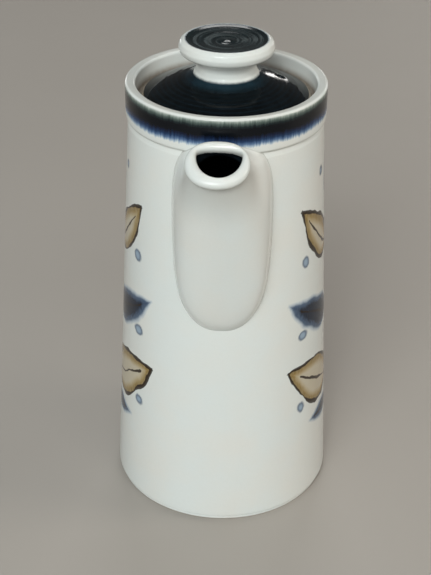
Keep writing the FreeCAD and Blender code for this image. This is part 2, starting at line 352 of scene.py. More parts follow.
ROOT_W = 22.6
MOUTH_C = np.array([-0.85, -61.0, 201.5])       # centre of the mouth ring
MOUTH_N = np.array([0.0, -0.419, 0.908])       # way that the mouth faces
MOUTH_V = np.array([0.0, 0.908, 0.419])        # towards the back of the ring
RING_OUT = (14.1, 12.3)                        # half width, half length
RING_FRONT = 1.07                              # the ring is longer in front than behind
RING_IN = (9.8, 7.6)
RING_IN_X = 0.60                               # opening sits off centre in the ring
OPEN_MID, OPEN_BACK, OPEN_FRONT = 4.4, 3.0, 12.0


def opening(phi, grow=0.0):
    """Outline of the opening in the mouth plane: flat at the back, round in front."""
    c, s = np.cos(phi), np.sin(phi)
    back = s >= 0
    p = np.where(back, 2.0 / 3.0, 1.0)
    x = np.sign(c) * np.abs(c) ** p * (RING_IN[0] + grow)
    v = np.where(back, OPEN_MID + (OPEN_BACK + grow) * np.abs(s) ** p, OPEN_MID - (OPEN_FRONT + grow) * np.abs(s))
    return x + RING_IN_X, v


def plane_pt(v, n):
    q = MOUTH_C + v * MOUTH_V + n * MOUTH_N
    return q[1], q[2]


_b, _f = plane_pt(RING_OUT[1] - 0.8, -1.9), plane_pt(-(RING_FRONT * RING_OUT[1] - 2.9), -3.7)
_f_out = _f[0]
SPOUT_OUT = np.array([
    (0.00, -36.0, 204.2, -43.5, 108.0, ROOT_W + 0.1, 0.6, 2.58, 0.30),
    (0.16, -42.0, 203.8, -53.2, 117.0, ROOT_W - 0.7, 0.5, 2.52, 0.30),
    (0.48, -46.4, 203.6, -58.7, 146.5, ROOT_W - 3.1, 0.0, 2.34, 0.22),
    (0.84, -48.6, 203.9, -65.5, 180.5, ROOT_W - 7.2, -0.6, 2.14, 0.08),
    (1.00, _b[0], _b[1], _f[0], _f[1], RING_OUT[0] - 0.7, MOUTH_C[0], 2.04, 0.0),
])


def front_line(t):
    return -(43.5 + 12.6 * t - (_f_out + 64.1) * t * t + 8.0 * (1.0 - np.exp(-t / 0.05)))


_b, _f = plane_pt(RING_IN[1] + 0.3, -1.9), plane_pt(-(RING_IN[1] + 0.3), -1.9)
SPOUT_IN = np.array([
    (0.00, -34.0, HOLE_TOP_Z - 0.5, -38.0, 112.0, ROOT_W - 4.2, 0.6, 2.40, 0.30),
    (0.16, -42.5, HOLE_TOP_Z + 0.8, -49.0, 126.0, ROOT_W - 5.4, 0.5, 2.35, 0.28),
    (0.48, -48.6, HOLE_TOP_Z + 1.9, -56.3, 155.0, ROOT_W - 8.4, 0.2, 2.25, 0.20),
    (0.84, -52.2, HOLE_TOP_Z + 3.2, -63.8, 186.0, ROOT_W - 12.4, 0.0, 2.20, 0.08),
    (1.00, _b[0], _b[1], _f[0], _f[1], RING_IN[0] + 0.3, MOUTH_C[0] + RING_IN_X, 2.10, 0.0),
])


def pouch_grid(knots, phi, t, front=None):
    g = [along(knots, j, t)[:, None] for j in range(1, 9)]
    if front is not None:
        g[2] = front(t)[:, None]
    c, s = np.cos(phi)[None, :], np.sin(phi)[None, :]
    # the foot of the root is fuller than its shoulders
    low = np.where(s < 0, 1.0 - np.asarray(t, float)[:, None], 0.0) if front is not None else 0.0
    p = 2.0 / (g[6] + 0.10 * low)
    x = np.sign(c) * np.abs(c) ** p
    v = np.sign(s) * np.abs(s) ** p
    x = x * (1.0 + 0.60 * low * v ** 4 * (1.0 - v * v))
    v = v + g[7] * (1 - v * v)
    X = g[5] + g[4] * x
    Y = (g[0] + g[2]) / 2 + (g[0] - g[2]) / 2 * v
    Z = (g[1] + g[3]) / 2 + (g[1] - g[3]) / 2 * v
    return np.stack([X, Y, Z], 2)          # (t, phi, 3)


_pz = body_prof[:, 1]
_k0 = int(np.argmax((_pz > 2.4) & (body_prof[:, 0] > 54.0)))
_k1 = int(np.argmax(_pz))
_oz, _or = _pz[_k0:_k1], body_prof[_k0:_k1, 0]
_ord = np.argsort(_oz)
_oz, _or = _oz[_ord], _or[_ord]


def outer_r(z):
    return np.interp(z, _oz, _or)


def body_normal(p):
    r = np.hypot(p[:, 0], p[:, 1])
    e = 0.05
    slope = (outer_r(p[:, 2] + e) - outer_r(p[:, 2] - e)) / (2 * e)
    n = np.c_[p[:, 0] / r, p[:, 1] / r, -slope]
    return n / np.linalg.norm(n, axis=1)[:, None]


def onto_body(p, off=0.0):
    r = np.hypot(p[:, 0], p[:, 1])
    k = (outer_r(p[:, 2]) + off) / r
    return np.c_[p[:, 0] * k, p[:, 1] * k, p[:, 2]]


def crossings(lines, off=0.0):
    """For lines (k, m, 3) that start inside the body wall and run out of it:
    the fractional row where each leaves the surface."""
    g = np.hypot(lines[..., 0], lines[..., 1]) - (outer_r(lines[..., 2]) + off)
    k = lines.shape[0]
    out = np.zeros(lines.shape[1])
    for j in range(lines.shape[1]):
        inside = np.where(g[:, j] <= 0)[0]
        i = int(inside[-1]) if len(inside) else 0
        if i >= k - 1:
            i = k - 2
        d = g[i + 1, j] - g[i, j]
        out[j] = i + (0.0 if abs(d) < 1e-9 else np.clip(-g[i, j] / d, 0, 1))
    return out


def tail(line, at):
    """Polyline from fractional row at to the end."""
    i = int(math.floor(at))
    f = at - i
    first = line[i] * (1 - f) + line[min(i + 1, len(line) - 1)] * f
    return np.vstack([first, line[i + 1:]])


def cut_front(line, dist):
    """Drops the first dist mm of a polyline."""
    s = arclen(line)
    dist = min(dist, 0.6 * s[-1])
    first = np.array([np.interp(dist, s, line[:, k]) for k in range(3)])
    return np.vstack([first, line[s > dist + 1e-6]])


def root_skirt(walls, rho, sink=0.12, n=14):
    """Soft fillet from the body surface into each wall line.  walls: list of
    polylines whose first point lies on the body surface."""
    roots = np.array([w[0] for w in walls])
    m = len(roots)
    tang = np.roll(roots, -1, 0) - np.roll(roots, 1, 0)
    tang /= np.linalg.norm(tang, axis=1)[:, None]
    nrm = body_normal(roots)
    out = np.cross(nrm, tang)
    cen = roots.mean(0)
    flip = np.sign((out * (roots - cen)).sum(1))
    if (flip > 0).sum() < m / 2:
        out = -out
    out /= np.linalg.norm(out, axis=1)[:, None]
    rho = np.broadcast_to(np.asarray(rho, float), (m,))
    A = onto_body(roots + out * (rho * 0.85)[:, None], -sink)
    A0 = onto_body(roots + out * (rho * 0.95)[:, None], -sink - 0.6)
    lines = []
    for j in range(m):
        rest = cut_front(walls[j], rho[j])
        B, C = roots[j], rest[0]
        t = np.linspace(0, 1, n)[:, None]
        bez = (1 - t) ** 2 * A[j] + 2 * t * (1 - t) * B + t * t * C
        lines.append(np.vstack([A0[j], bez, rest[1:]]))
    return lines


def resample(line, n, bias=None):
    s = arclen(line)
    if bias is None:
        t = np.linspace(0, s[-1], n)
    else:
        t = np.interp(np.linspace(0, 1, n), bias[0], np.asarray(bias[1]) * s[-1])
    return np.stack([np.interp(t, s, line[:, k]) for k in range(3)], 1)


NPHI = 192
# even spacing round the root: phi samples by arc length on the second section
_ph = np.linspace(0, 2 * np.pi, 4001)
_q = pouch_grid(SPOUT_OUT, _ph, np.array([0.45]), front_line)[0]
_qs = arclen(_q)
PHI = np.interp(np.linspace(0, _qs[-1], NPHI, endpoint=False), _qs, _ph)
T = np.linspace(0, 1, 620)
outer = pouch_grid(SPOUT_OUT, PHI, T, front_line)
inner = pouch_grid(SPOUT_IN, PHI, T)
# the channel takes the outline of the opening as it comes up to the mouth
_ox, _ov = opening(PHI, 0.3)
_ex, _ev = RING_IN_X + (RING_IN[0] + 0.3) * np.cos(PHI), (RING_IN[1] + 0.3) * np.sin(PHI)
_w = np.clip((T - 0.72) / 0.28, 0, 1)
_w = (_w * _w * (3 - 2 * _w))[:, None, None]
inner = inner + _w * ((_ox - _ex)[None, :, None] * np.array([1.0, 0, 0]) + (_ov - _ev)[None, :, None] * MOUTH_V)
at_o = crossings(outer)
at_i = crossings(inner, -2.2)
walls = [tail(outer[:, j], at_o[j]) for j in range(NPHI)]
for w_ in walls:
    w_[0] = onto_body(w_[:1])[0]
skirts = root_skirt(walls, 0.85, 0.30)
meridians, inner_rows = [], []
for j in range(NPHI):
    ph = PHI[j]
    c, s_ = math.cos(ph), math.sin(ph)
    bow = 0.93 if s_ < 0 else 0.93 - 0.09 * s_ * s_
    O = MOUTH_C + np.array([RING_OUT[0] * np.sign(c) * abs(c) ** bow, 0, 0]) + RING_OUT[1] * (RING_FRONT if s_ < 0 else 1.0) * np.sign(s_) * abs(s_) ** bow * MOUTH_V
    ix, iv = opening(np.array([ph]))
    I = MOUTH_C + np.array([ix[0], 0, 0]) + iv[0] * MOUTH_V
    M = (O + I) / 2
    a = np.linalg.norm(O - I) / 2
    ang = np.radians(np.linspace(-32, 212, 40))[:, None]
    bead = M + (O - M) * np.cos(ang) + MOUTH_N * (0.35 * a + 1.45) * np.sin(ang)
    inn = tail(inner[:, j], at_i[j])[::-1]
    line = np.vstack([skirts[j], bead, inn])
    soft = gauss_smooth_poly(line, 0.6)
    # split at the top of the bead so that rows line up round the ring
    top = int(np.argmin(np.linalg.norm(soft - (M + MOUTH_N * (0.35 * a + 1.45)), axis=1)))
    a_part = resample(soft[:top + 1], 96, ((0, 0.22, 0.72, 1), (0, 0.10, 0.80, 1)))
    b_part = resample(soft[top:], 60, ((0, 0.55, 1), (0, 0.28, 1)))
    meridians.append(np.vstack([a_part, b_part[1:]]))
grid = np.array(meridians).transpose(1, 0, 2)      # (rows, phi, 3)
# painted shade inside the spout: depth below the lip along the inner wall, past which the colour turns near black
depth = np.zeros(grid.shape[:2])
inner_len = np.cumsum(np.r_[np.zeros((1, NPHI)), np.linalg.norm(np.diff(grid[95:], axis=0), axis=2)], axis=0)
depth[95:] = inner_len
# and, as a negative depth, nearness to the crease at the root, which carries painted shade there
root_len = np.cumsum(np.r_[np.zeros((1, NPHI)), np.linalg.norm(np.diff(grid[:60], axis=0), axis=2)], axis=0)
depth[:60] = -np.clip(1.0 - root_len / 2.8, 0.0, 1.0)
spout = loft("spout_shell", grid, True, {"depth": depth.ravel()})


# ===================================================================== handle
H_PTS = np.array([(40.0, 178.0), (72.0, 184.0), (99.0, 166.0), (97.0, 112.0), (74.0, 82.0), (44.0, 79.0)])
H_RAD = (26.0, 30.0, 44.0, 26.0)
h_line = []
start = H_PTS[0]
for i in range(1, len(H_PTS) - 1):
    a, b, c = H_PTS[i - 1], H_PTS[i], H_PTS[i + 1]
    u, v = (a - b) / np.linalg.norm(a - b), (c - b) / np.linalg.norm(c - b)
    half = math.acos(float(np.clip(u @ v, -1, 1))) / 2
    t = H_RAD[i - 1] / math.tan(half)
    if 1 < i < len(H_PTS) - 2:
        t = min(t, 0.49 * min(np.linalg.norm(a - b), np.linalg.norm(c - b)))
    r_ = t * math.tan(half)
    bis = (u + v) / np.linalg.norm(u + v)
    cen = b + bis * (r_ / math.sin(half))
    p1, p2 = b + u * t, b + v * t
    a1, a2 = math.atan2(*(p1 - cen)[::-1]), math.atan2(*(p2 - cen)[::-1])
    d = (a2 - a1 + math.pi) % (2 * math.pi) - math.pi
    h_line.append(start)
    for k in range(25):
        g = a1 + d * k / 24
        h_line.append(cen + r_ * np.array([math.cos(g), math.sin(g)]))
    start = p2
h_line.append(start)
h_line.append(H_PTS[-1])
h_line = gauss_smooth_poly(np.array(h_line), 9.0, True, 0.5)
hs = arclen(h_line)
hn = 420
ht = np.linspace(0, hs[-1], hn)
hc = np.stack([np.interp(ht, hs, h_line[:, k]) for k in range(2)], 1)
htan = np.gradient(hc, axis=0)
htan /= np.linalg.norm(htan, axis=1)[:, None]
hnor = np.c_[-htan[:, 1], htan[:, 0]]                   # to the outside of the loop
q = ht / hs[-1]
# strap: broader where it joins, thumbed at the top, slimmer at the bottom
hw = 10.3 + 1.7 * np.exp(-((q - 0.04) / 0.13) ** 2) + 0.6 * np.exp(-((q - 0.97) / 0.12) ** 2) - 0.5 * np.exp(-((q - 0.68) / 0.2) ** 2)
htk = 5.0 + 0.9 * np.exp(-((q - 0.03) / 0.12) ** 2) + 0.4 * np.exp(-((q - 0.98) / 0.10) ** 2) - 0.25 * np.exp(-((q - 0.6) / 0.25) ** 2)
NH = 96
ph = 2 * np.pi * np.arange(NH) / NH
cx = np.sign(np.cos(ph)) * np.abs(np.cos(ph)) ** (2 / 2.5)
sy = np.sign(np.sin(ph)) * np.abs(np.sin(ph)) ** (2 / 2.3)
tube = np.zeros((hn, NH, 3))
for i in range(hn):
    # the outer face carries a shallow lengthwise groove, as a pulled strap does
    groove = np.where(sy > 0, -0.55 * np.exp(-(cx / 0.42) ** 2), -0.25 * np.exp(-(cx / 0.5) ** 2) * -1)
    off = htk[i] * sy + groove
    tube[i, :, 0] = hw[i] * cx
    tube[i, :, 1] = hc[i, 0] + hnor[i, 0] * off
    tube[i, :, 2] = hc[i, 1] + hnor[i, 1] * off
half_i = hn // 2
up = tube[:half_i + 1]
lo = tube[half_i:][::-1]
parts = []
for lines, rho in ((up, 5.0), (lo, 4.2)):
    at = crossings(lines)
    ws = [tail(lines[:, j], at[j]) for j in range(NH)]
    for w_ in ws:
        w_[0] = onto_body(w_[:1])[0]
    sk = root_skirt(ws, rho, 0.16, 16)
    parts.append(np.array([resample(gauss_smooth_poly(l, 0.5), 120, ((0, 0.25, 1), (0, 0.10, 1))) for l in sk]).transpose(1, 0, 2))
hgrid = np.concatenate([parts[0], parts[1][::-1][1:]], 0)
# close the two ends inside the wall
end0 = onto_body(hgrid[0], -1.2)
end1 = onto_body(hgrid[-1], -1.2)
hgrid = np.concatenate([end0[None], hgrid, end1[None]], 0)


def loft_capped(name, grid):
    nr, nc = grid.shape[:2]
    ob = loft(name, grid, False, None, 1.0, 0.94)
    me = ob.data
    bm = bmesh.new()
    bm.from_mesh(me)
    bm.verts.ensure_lookup_table()
    uv = bm.loops.layers.uv["OFBake"]
    rings = [[bm.verts[row * nc + j] for j in range(nc)] for row in (0, nr - 1)]
    for ring in rings:
        c = bm.verts.new(sum((v.co for v in ring), Vector()) / nc)
        for j in range(nc):
            f = bm.faces.new((ring[j], ring[(j + 1) % nc], c))
            f.smooth = True
            for k, l in enumerate(f.loops):
                l[uv].uv = (0.02 + 0.3 * j / nc, 0.96 if k < 2 else 0.98)
    bmesh.ops.recalc_face_normals(bm, faces=bm.faces)
    bm.to_mesh(me)
    bm.free()
    return ob


handle = loft_capped("handle_strap", hgrid)

# ======================================================================== lid
ez = LEDGE_Z + 0.05
te = ez + 3.4
dome = np.array([(15.2, 219.2), (16.6, 218.3), (18.6, 217.4), (21.5, 216.45), (25.0, 215.25), (29.0, 213.72), (33.0, 211.92), (36.3, 210.30)])
lid_pts = [(0.0, 218.6, 0), (13.5, 218.8, 0.5)] + [(r, z, 1.5) for r, z in dome] + [
    (38.0, te - 0.15, 1.2), (39.2, te - 1.1, 1.1), (39.2, ez + 0.5, 0.9), (38.0, ez, 0.9),
    (33.4, ez, 0.4), (32.9, ez - 0.7, 0.5), (32.3, 198.4, 1.2), (29.5, 198.4, 1.2), (28.9, 206.6, 2.0),
    (24.0, 210.0, 6.0), (15.0, 212.7, 8.0), (0.0, 213.3, 0)]
lid_prof = densify(fillet_profile(lid_pts), 0.55)


def lid_move(th, r, z, s):
    top = (s < 43.0) & (r > 14.5)
    fade = np.clip((r - 16.0) / 3.0, 0, 1) * np.clip((37.6 - r) / 2.0, 0, 1)
    spiral = np.sin(2 * np.pi * (r / 2.35) - th + 0.7 * np.sin(r / 2.7))
    second = np.sin(2 * np.pi * (r / 4.9) - th + 1.3)
    wob = 0.10 * ring_noise(th, r * 0, 5, 3, 40.0)
    dz = np.where(top, fade * (0.009 * spiral + 0.016 * second) + 0.06 * wob, 0.0)
    return np.zeros_like(r), dz


lid = revolve("lid_dome", lid_prof, 256, lid_move, vmax=0.94)
VENT_R, VENT_POS_R, VENT_AZ = 2.05, 24.7, math.radians(15.8)


def vent_cutter():
    cx, cy = VENT_POS_R * math.cos(VENT_AZ), VENT_POS_R * math.sin(VENT_AZ)
    prof = [(VENT_R, 200.0), (VENT_R, 213.8), (VENT_R + 0.08, 214.3), (VENT_R + 0.22, 214.7), (VENT_R + 0.50, 215.1), (VENT_R + 1.0, 215.4), (VENT_R + 1.0, 222.0)]
    n = 40
    verts, faces, uvs = [], [], []
    for r, z in prof:
        for k in range(n):
            g = 2 * math.pi * k / n
            # the hole leans with the dome
            lean = (z - 213.5) * 0.30
            verts.append((cx + (r * math.cos(g)) + lean * math.cos(VENT_AZ), cy + r * math.sin(g) + lean * math.sin(VENT_AZ), z - 0.42 * (r * math.cos(g - VENT_AZ)) * (1 if z > 212 else 0)))
    m = len(prof)
    for i in range(m - 1):
        for k in range(n):
            l = (k + 1) % n
            faces.append((i * n + k, i * n + l, (i + 1) * n + l, (i + 1) * n + k))
            uvs.append([(0.4 + 0.3 * k / n, 0.96 + 0.03 * i / m), (0.4 + 0.3 * (k + 1) / n, 0.96 + 0.03 * i / m),
                        (0.4 + 0.3 * (k + 1) / n, 0.96 + 0.03 * (i + 1) / m), (0.4 + 0.3 * k / n, 0.96 + 0.03 * (i + 1) / m)])
    faces.append(tuple(range(n))[::-1])
    uvs.append([(0.8 + 0.05 * math.cos(2 * math.pi * k / n), 0.97) for k in range(n)])
    faces.append(tuple(range((m - 1) * n, m * n)))
    uvs.append([(0.8 + 0.05 * math.cos(2 * math.pi * k / n), 0.97) for k in range(n)])
    ob = new_object("vent_cutter", verts, faces, uvs)
    fix_normals(ob)
    return ob


carve(lid, vent_cutter())

# ======================================================================= knob
knob_pts = [(0.0, 217.6, 0), (15.4, 218.4, 0.3), (15.1, 219.5, 1.2), (14.15, 220.9, 2.0), (13.45, 223.2, 3.5), (13.65, 225.0, 3.0),
            (15.4, 227.0, 2.5), (18.8, 228.05, 2.2), (21.35, 229.5, 2.2), (22.0, 231.9, 2.2), (21.2, 234.5, 1.8), (19.5, 235.5, 1.2),
            (18.4, 235.35, 0.9), (16.6, 234.85, 2.0), (10.0, 234.35, 3.0), (4.6, 234.1, 2.0), (2.6, 234.45, 1.2), (1.1, 234.85, 0.8), (0.0, 234.9, 0)]
knob_prof = densify(fillet_profile(knob_pts), 0.45)


def knob_move(th, r, z, s):
    top = (z > 233.5) & (r < 18.6)
    fade = np.clip((r - 1.5) / 2.0, 0, 1) * np.clip((18.0 - r) / 1.5, 0, 1)
    spiral = np.sin(2 * np.pi * (r / 2.6) - th + 0.9 * np.sin(r / 2.1 + 0.4))
    second = np.sin(2 * np.pi * (r / 5.3) - th + 0.3)
    dz = np.where(top, fade * (0.022 * spiral + 0.050 * second), 0.0)
    dr = 0.10 * ring_noise(th, z * 0, 21, 3, 30.0) * np.clip((r - 12.0) / 4.0, 0, 1)
    return dr, dz


knob = revolve("lid_knob_turned", knob_prof, 224, knob_move)

for ob, node, body, slot in ((pot_body, "pot_body", "pot", "white_glaze"), (spout, "spout", "pot", "white_glaze"),
                             (handle, "handle", "pot", "white_glaze"), (lid, "lid", "lid", "dark_glaze"),
                             (knob, "lid_knob", "lid", "knob_glaze")):
    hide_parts(node)
    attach(ob, body)


# ================================================================== materials
class Nodes:
    """Short hand for building a node tree."""

    def __init__(self, tree):
        self.t = tree

    def _in(self, sock, v):
        if v is None:
            return
        if isinstance(v, bpy.types.NodeSocket):
            self.t.links.new(v, sock)
        else:
            sock.default_value = v

    def node(self, kind, **props):
        n = self.t.nodes.new(kind)
        for k, v in props.items():
            setattr(n, k, v)
        return n

    def math(self, op, a, b=None, c=None, clamp=False):
        n = self.node("ShaderNodeMath", operation=op, use_clamp=clamp)
        self._in(n.inputs[0], a)
        self._in(n.inputs[1], b)
        self._in(n.inputs[2], c)
        return n.outputs[0]

    def add(self, a, b):
        return self.math("ADD", a, b)

    def sub(self, a, b):
        return self.math("SUBTRACT", a, b)

    def mul(self, a, b):
        return self.math("MULTIPLY", a, b)

    def step(self, v, lo, hi):
        """Smooth 0..1 as v goes from lo to hi (either order)."""
        n = self.node("ShaderNodeMapRange", interpolation_type="SMOOTHSTEP", clamp=True)
        self._in(n.inputs["Value"], v)
        self._in(n.inputs["From Min"], lo)
        self._in(n.inputs["From Max"], hi)
        return n.outputs["Result"]

    def remap(self, v, a, b, c, d):
        n = self.node("ShaderNodeMapRange", clamp=True)
        self._in(n.inputs["Value"], v)
        for k, x in zip(("From Min", "From Max", "To Min", "To Max"), (a, b, c, d)):
            self._in(n.inputs[k], x)
        return n.outputs["Result"]

    def mix(self, fac, a, b, blend="MIX"):
        n = self.node("ShaderNodeMix", data_type="RGBA", blend_type=blend, clamp_factor=True)
        self._in(n.inputs[0], fac)
        self._in(n.inputs[6], col(a))
        self._in(n.inputs[7], col(b))
        return n.outputs[2]

    def mixf(self, fac, a, b):
        n = self.node("ShaderNodeMix", data_type="FLOAT", clamp_factor=True)
        self._in(n.inputs[0], fac)
        self._in(n.inputs[2], a)
        self._in(n.inputs[3], b)
        return n.outputs[0]

    def noise(self, vec, scale, detail=3.0, rough=0.5, dist=0.0):
        n = self.node("ShaderNodeTexNoise")
        self._in(n.inputs["Vector"], vec)
        n.inputs["Scale"].default_value = scale
        n.inputs["Detail"].default_value = detail
        n.inputs["Roughness"].default_value = rough
        n.inputs["Distortion"].default_value = dist
        return n.outputs[0]

    def noise_col(self, vec, scale, detail=2.0):
        n = self.node("ShaderNodeTexNoise")
        self._in(n.inputs["Vector"], vec)
        n.inputs["Scale"].default_value = scale
        n.inputs["Detail"].default_value = detail
        return n.outputs[1]

    def xyz(self, x, y, z):
        n = self.node("ShaderNodeCombineXYZ")
        self._in(n.inputs[0], x)
        self._in(n.inputs[1], y)
        self._in(n.inputs[2], z)
        return n.outputs[0]

    def ramp(self, fac, stops, interp="LINEAR"):
        n = self.node("ShaderNodeValToRGB")
        r = n.color_ramp
        r.interpolation = interp
        while len(r.elements) < len(stops):
            r.elements.new(0.5)
        for e, (p, c) in zip(r.elements, stops):
            e.position = p
            e.color = col(c)
        self._in(n.inputs[0], fac)
        return n.outputs[0]


def col(c):
    if isinstance(c, bpy.types.NodeSocket) or c is None:
        return c
    return tuple(c) + (1.0,) if len(c) == 3 else tuple(c)


def begin(name):
    m = bpy.data.materials.new(name)
    m.use_nodes = True
    for n in list(m.node_tree.nodes):
        m.node_tree.nodes.remove(n)
    N = Nodes(m.node_tree)
    out = N.node("ShaderNodeOutputMaterial")
    bsdf = N.node("ShaderNodeBsdfPrincipled")
    m.node_tree.links.new(bsdf.outputs[0], out.inputs[0])
    tc = N.node("ShaderNodeTexCoord")
    sc = N.node("ShaderNodeVectorMath", operation="SCALE")
    m.node_tree.links.new(tc.outputs["Object"], sc.inputs[0])
    sc.inputs["Scale"].default_value = 1000.0        # millimetres from here on
    P = sc.outputs[0]
    sep = N.node("ShaderNodeSeparateXYZ")
    m.node_tree.links.new(P, sep.inputs[0])
    x, y, z = sep.outputs
    return m, N, bsdf, P, x, y, z


def bump(N, bsdf, height, dist_mm, strength=1.0):
    b = N.node("ShaderNodeBump")
    b.inputs["Strength"].default_value = strength
    b.inputs["Distance"].default_value = dist_mm * MM
    N._in(b.inputs["Height"], height)
    N.t.links.new(b.outputs[0], bsdf.inputs["Normal"])


WHITE = (0.715, 0.752, 0.738)
WHITE_WARM = (0.735, 0.740, 0.705)
INK = (0.0015, 0.0028, 0.0055)
COBALT = (0.018, 0.044, 0.112)
GREY_GREEN = (0.16, 0.20, 0.185)
CLAY = (0.47, 0.36, 0.26)


def glaze_white(N, P, z):
    """Off-white stoneware glaze: cloudy tone, faint warm patches, a few specks."""
    cloud = N.noise(P, 0.035, 3.0, 0.55)
    c = N.mix(N.remap(cloud, 0.35, 0.68, 0.0, 1.0), WHITE, WHITE_WARM)
    fine = N.noise(P, 0.9, 4.0, 0.6)
    c = N.mix(N.remap(fine, 0.3, 0.75, 0.0, 0.10), c, (0.60, 0.61, 0.58))
    v = N.node("ShaderNodeTexVoronoi", feature="F1")
    N._in(v.inputs["Vector"], P)
    v.inputs["Scale"].default_value = 0.16
    pick = N.node("ShaderNodeSeparateXYZ")
    N.t.links.new(v.outputs["Color"], pick.inputs[0])
    size = N.remap(pick.outputs[0], 0.62, 1.0, 0.0, 0.036)
    speck = N.step(v.outputs["Distance"], size, N.mul(size, 0.4))
    c = N.mix(N.mul(speck, 0.30), c, (0.22, 0.16, 0.10))
    return c


def gloss(N, bsdf, P, base=0.14, spread=0.08):
    r = N.noise(P, 0.12, 4.0, 0.6)
    f = N.noise(P, 2.2, 3.0, 0.6)
    rr = N.add(N.remap(r, 0.3, 0.7, base - spread / 2, base + spread / 2), N.remap(f, 0.3, 0.7, -0.015, 0.02))
    N._in(bsdf.inputs["Roughness"], rr)
    bsdf.inputs["IOR"].default_value = 1.52


def glaze_bump(N, bsdf, P, extra=None, dist=0.05):
    """Orange-peel ripple of a fired glaze, with a finer ripple on top."""
    h = N.add(N.mul(N.noise(P, 0.30, 2.0, 0.5), 0.9), N.mul(N.noise(P, 1.6, 3.0, 0.55), 0.10))
    if extra is not None:
        h = N.add(h, extra)
    bump(N, bsdf, h, dist)


# ---- brushed leaf, as a node group: signed distance in millimetres
def leaf_group():
    g = bpy.data.node_groups.new("brushed_leaf", "ShaderNodeTree")
    for n in ("U", "V", "BaseU", "BaseV", "Angle", "Length", "HalfWidth", "Bend"):
        g.interface.new_socket(name=n, in_out="INPUT", socket_type="NodeSocketFloat")
    for n in ("D", "Vein", "Along"):
        g.interface.new_socket(name=n, in_out="OUTPUT", socket_type="NodeSocketFloat")
    N = Nodes(g)
    i = N.node("NodeGroupInput")
    o = N.node("NodeGroupOutput")
    I = {s.name: s for s in i.outputs if s.name}
    du, dv = N.sub(I["U"], I["BaseU"]), N.sub(I["V"], I["BaseV"])
    c, s = N.math("COSINE", I["Angle"]), N.math("SINE", I["Angle"])
    x = N.math("DIVIDE", N.add(N.mul(du, c), N.mul(dv, s)), I["Length"])
    y0 = N.sub(N.mul(dv, c), N.mul(du, s))
    xc = N.math("MINIMUM", N.math("MAXIMUM", x, 0.0), 1.0)
    y = N.sub(y0, N.mul(I["Bend"], N.mul(xc, N.sub(1.0, xc))))
    ay = N.math("ABSOLUTE", y)
    prof = N.math("POWER", N.math("SINE", N.mul(N.math("POWER", xc, 0.72), math.pi)), 0.85)
    w = N.mul(I["HalfWidth"], prof)
    d = N.sub(ay, w)
    over = N.math("MAXIMUM", N.mul(N.sub(x, 1.0), I["Length"]), N.mul(x, N.mul(I["Length"], -1.0)))
    d = N.math("MAXIMUM", d, over)
    g.links.new(d, o.inputs["D"])
    vein = N.add(ay, N.mul(N.math("MAXIMUM", N.sub(xc, 0.80), 0.0), 40.0))
    vein = N.math("MAXIMUM", vein, over)
    g.links.new(vein, o.inputs["Vein"])
    g.links.new(xc, o.inputs["Along"])
    return g


LEAF = leaf_group()
OCHRE, OCHRE_DEEP = (0.365, 0.240, 0.052), (0.185, 0.112, 0.022)
UMBER = (0.020, 0.011, 0.006)
SLATE, SLATE_LIGHT, NAVY = (0.075, 0.115, 0.185), (0.26, 0.36, 0.48), (0.006, 0.010, 0.022)

# base u, base v, tip u, tip v, half width, bend (mm on the flank, u = 0 at the side, minus towards the spout)
OCHRE_LEAVES = ((-1.0, 58, -43, 80, 12.5, 6.0), (2.0, 66, 41, 92, 12.0, -6.0), (-1.0, 133, -34, 163, 9.5, 5.0), (1.0, 139, 30, 171, 9.0, -5.0))
BLUE_LEAVES = ((-1.0, 97, -42, 117, 9.5, 6.0), (1.0, 103, 38, 127, 9.0, -6.0), (0.0, 158, 2.0, 190, 7.0, 2.0), (0.0, 44, -27, 45, 5.4, 3.0), (1.0, 46, 27, 53, 5.2, -3.0))
BERRIES = ((-33.0, 97.5, 3.4), (-31.0, 137.0, 3.2), (33.0, 106.5, 3.3), (30.0, 146.5, 3.1), (-35.0, 57.0, 2.9), (35.0, 68.0, 2.8), (-14.0, 178.0, 2.4), (17.0, 182.0, 2.3))


